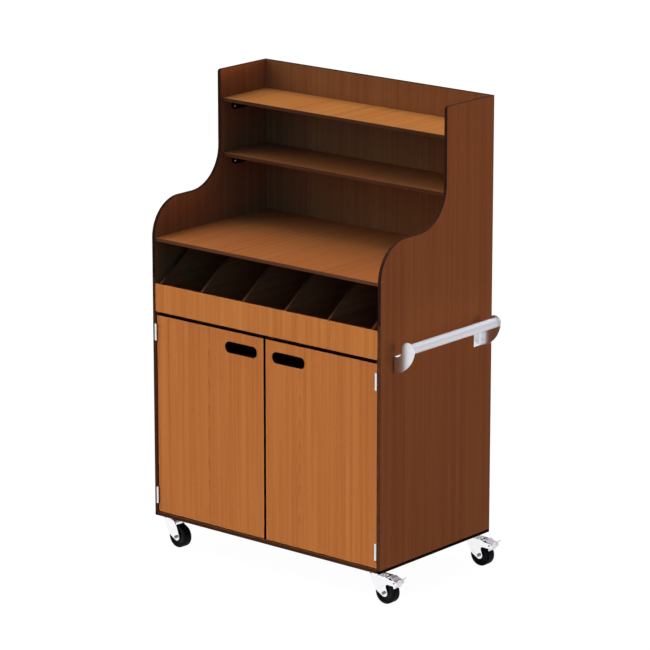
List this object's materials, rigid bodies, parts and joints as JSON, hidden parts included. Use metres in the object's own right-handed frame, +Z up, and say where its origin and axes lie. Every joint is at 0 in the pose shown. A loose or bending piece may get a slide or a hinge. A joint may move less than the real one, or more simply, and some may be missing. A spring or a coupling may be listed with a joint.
{
  "type": "mobile deli unit",
  "caption": "Wheeled serving unit: cupboard with hinged doors below, open divided bins and a worktop over it, stepped curved sides carrying display shelves, push bar on one side.",
  "frame": {"origin": "on the floor, under the middle of the unit's overall box, push bar and hinge barrels included", "axes": "+X to the right seen from the front, towards the push bar; +Y to the back; +Z up"},
  "size_m": [1.089, 0.599, 1.623],
  "materials": {
    "woodgrain_laminate": "satin woodgrain laminate with dark brown edge banding",
    "bin_board": "dark brown laminate",
    "dowel_wood": "bare beech",
    "handle_tube": "satin silver",
    "handle_chrome": "polished",
    "screw_steel": "bright plated",
    "hinge_steel": "bright zinc plated",
    "zinc_steel": "bright zinc plated pressing",
    "pedal_steel": "zinc plated pressing",
    "ball_steel": "polished balls",
    "black_plastic": "fine moulded texture",
    "catch_plastic": "brown moulded",
    "wheel_core": "dark grey moulded",
    "tyre": "matt black rubber"
  },
  "bodies": {
    "carcass": {"back_panel": "woodgrain_laminate", "bin_back": "bin_board", "bin_deck": "woodgrain_laminate", "bin_divider_1": "bin_board", "bin_divider_2": "bin_board", "bin_divider_3": "bin_board", "bin_divider_4": "bin_board", "bin_end_wall_left": "bin_board", "bin_end_wall_right": "bin_board", "bin_floor": "bin_board", "bottom_panel": "woodgrain_laminate", "carcass_dowels": "dowel_wood", "caster_kingpins": "zinc_steel", "caster_screws": "zinc_steel", "caster_swivel_balls": "ball_steel", "caster_top_plates": "zinc_steel", "cupboard_shelf": "woodgrain_laminate", "display_shelf_lower": "woodgrain_laminate", "display_shelf_upper": "woodgrain_laminate", "front_rail": "woodgrain_laminate", "handle_bar": "handle_tube", "handle_bracket_front": "handle_chrome", "handle_bracket_rear": "handle_chrome", "handle_screws": "screw_steel", "hinge_frame_leaves": "hinge_steel", "hinge_frame_screws": "hinge_steel", "hinge_pins": "hinge_steel", "left_side_panel": "woodgrain_laminate", "magnetic_catches": "catch_plastic", "right_side_panel": "woodgrain_laminate", "shelf_support_screws": "screw_steel", "shelf_supports": "black_plastic", "worktop": "woodgrain_laminate"},
    "left_door": {"left_door": "woodgrain_laminate", "left_catch_strike": "zinc_steel", "left_hinge_leaves": "hinge_steel", "left_hinge_screws": "hinge_steel"},
    "right_door": {"right_door": "woodgrain_laminate", "right_catch_strike": "zinc_steel", "right_hinge_leaves": "hinge_steel", "right_hinge_screws": "hinge_steel"},
    "swivel_front_left": {"fork_front_left": "zinc_steel", "axle_front_left": "zinc_steel"},
    "wheel_front_left": {"wheel_core_front_left": "wheel_core", "tyre_front_left": "tyre"},
    "swivel_front_right": {"fork_front_right": "zinc_steel", "axle_front_right": "zinc_steel"},
    "wheel_front_right": {"wheel_core_front_right": "wheel_core", "tyre_front_right": "tyre"},
    "brake_front_right": {"brake_pedal_front_right": "pedal_steel"},
    "swivel_rear_left": {"fork_rear_left": "zinc_steel", "axle_rear_left": "zinc_steel"},
    "wheel_rear_left": {"wheel_core_rear_left": "wheel_core", "tyre_rear_left": "tyre"},
    "swivel_rear_right": {"fork_rear_right": "zinc_steel", "axle_rear_right": "zinc_steel"},
    "wheel_rear_right": {"wheel_core_rear_right": "wheel_core", "tyre_rear_right": "tyre"},
    "brake_rear_right": {"brake_pedal_rear_right": "pedal_steel"}
  },
  "joints": [
    {"name": "left_door_hinge", "type": "hinge", "parent": "carcass", "child": "left_door", "pos_m": [-0.529, -0.2954, 0.474], "axis": [0, 0, -1], "range_deg": [0, 170]},
    {"name": "right_door_hinge", "type": "hinge", "parent": "carcass", "child": "right_door", "pos_m": [0.44, -0.2954, 0.474], "axis": [0, 0, 1], "range_deg": [0, 170]},
    {"name": "front_left_swivel", "type": "hinge", "parent": "carcass", "child": "swivel_front_left", "pos_m": [-0.5045, -0.2525, 0.095], "axis": [0, 0, 1], "continuous": true},
    {"name": "front_left_wheel_spin", "type": "hinge", "parent": "swivel_front_left", "child": "wheel_front_left", "pos_m": [-0.4616, -0.2555, 0.0395], "axis": [0.0698, 0.9976, 0], "continuous": true},
    {"name": "front_right_swivel", "type": "hinge", "parent": "carcass", "child": "swivel_front_right", "pos_m": [0.4155, -0.2525, 0.095], "axis": [0, 0, 1], "continuous": true},
    {"name": "front_right_wheel_spin", "type": "hinge", "parent": "swivel_front_right", "child": "wheel_front_right", "pos_m": [0.4585, -0.2525, 0.0395], "axis": [0, 1, 0], "continuous": true},
    {"name": "front_right_brake", "type": "hinge", "parent": "swivel_front_right", "child": "brake_front_right", "pos_m": [0.5005, -0.2525, 0.0805], "axis": [0, 1, 0], "range_deg": [0, 12]},
    {"name": "rear_left_swivel", "type": "hinge", "parent": "carcass", "child": "swivel_rear_left", "pos_m": [-0.5045, 0.2595, 0.095], "axis": [0, 0, 1], "continuous": true},
    {"name": "rear_left_wheel_spin", "type": "hinge", "parent": "swivel_rear_left", "child": "wheel_rear_left", "pos_m": [-0.4615, 0.2595, 0.0395], "axis": [0, 1, 0], "continuous": true},
    {"name": "rear_right_swivel", "type": "hinge", "parent": "carcass", "child": "swivel_rear_right", "pos_m": [0.4155, 0.2595, 0.095], "axis": [0, 0, 1], "continuous": true},
    {"name": "rear_right_wheel_spin", "type": "hinge", "parent": "swivel_rear_right", "child": "wheel_rear_right", "pos_m": [0.4585, 0.2595, 0.0395], "axis": [0, 1, 0], "continuous": true},
    {"name": "rear_right_brake", "type": "hinge", "parent": "swivel_rear_right", "child": "brake_rear_right", "pos_m": [0.5005, 0.2595, 0.0805], "axis": [0, 1, 0], "range_deg": [0, 12]}
  ]
}
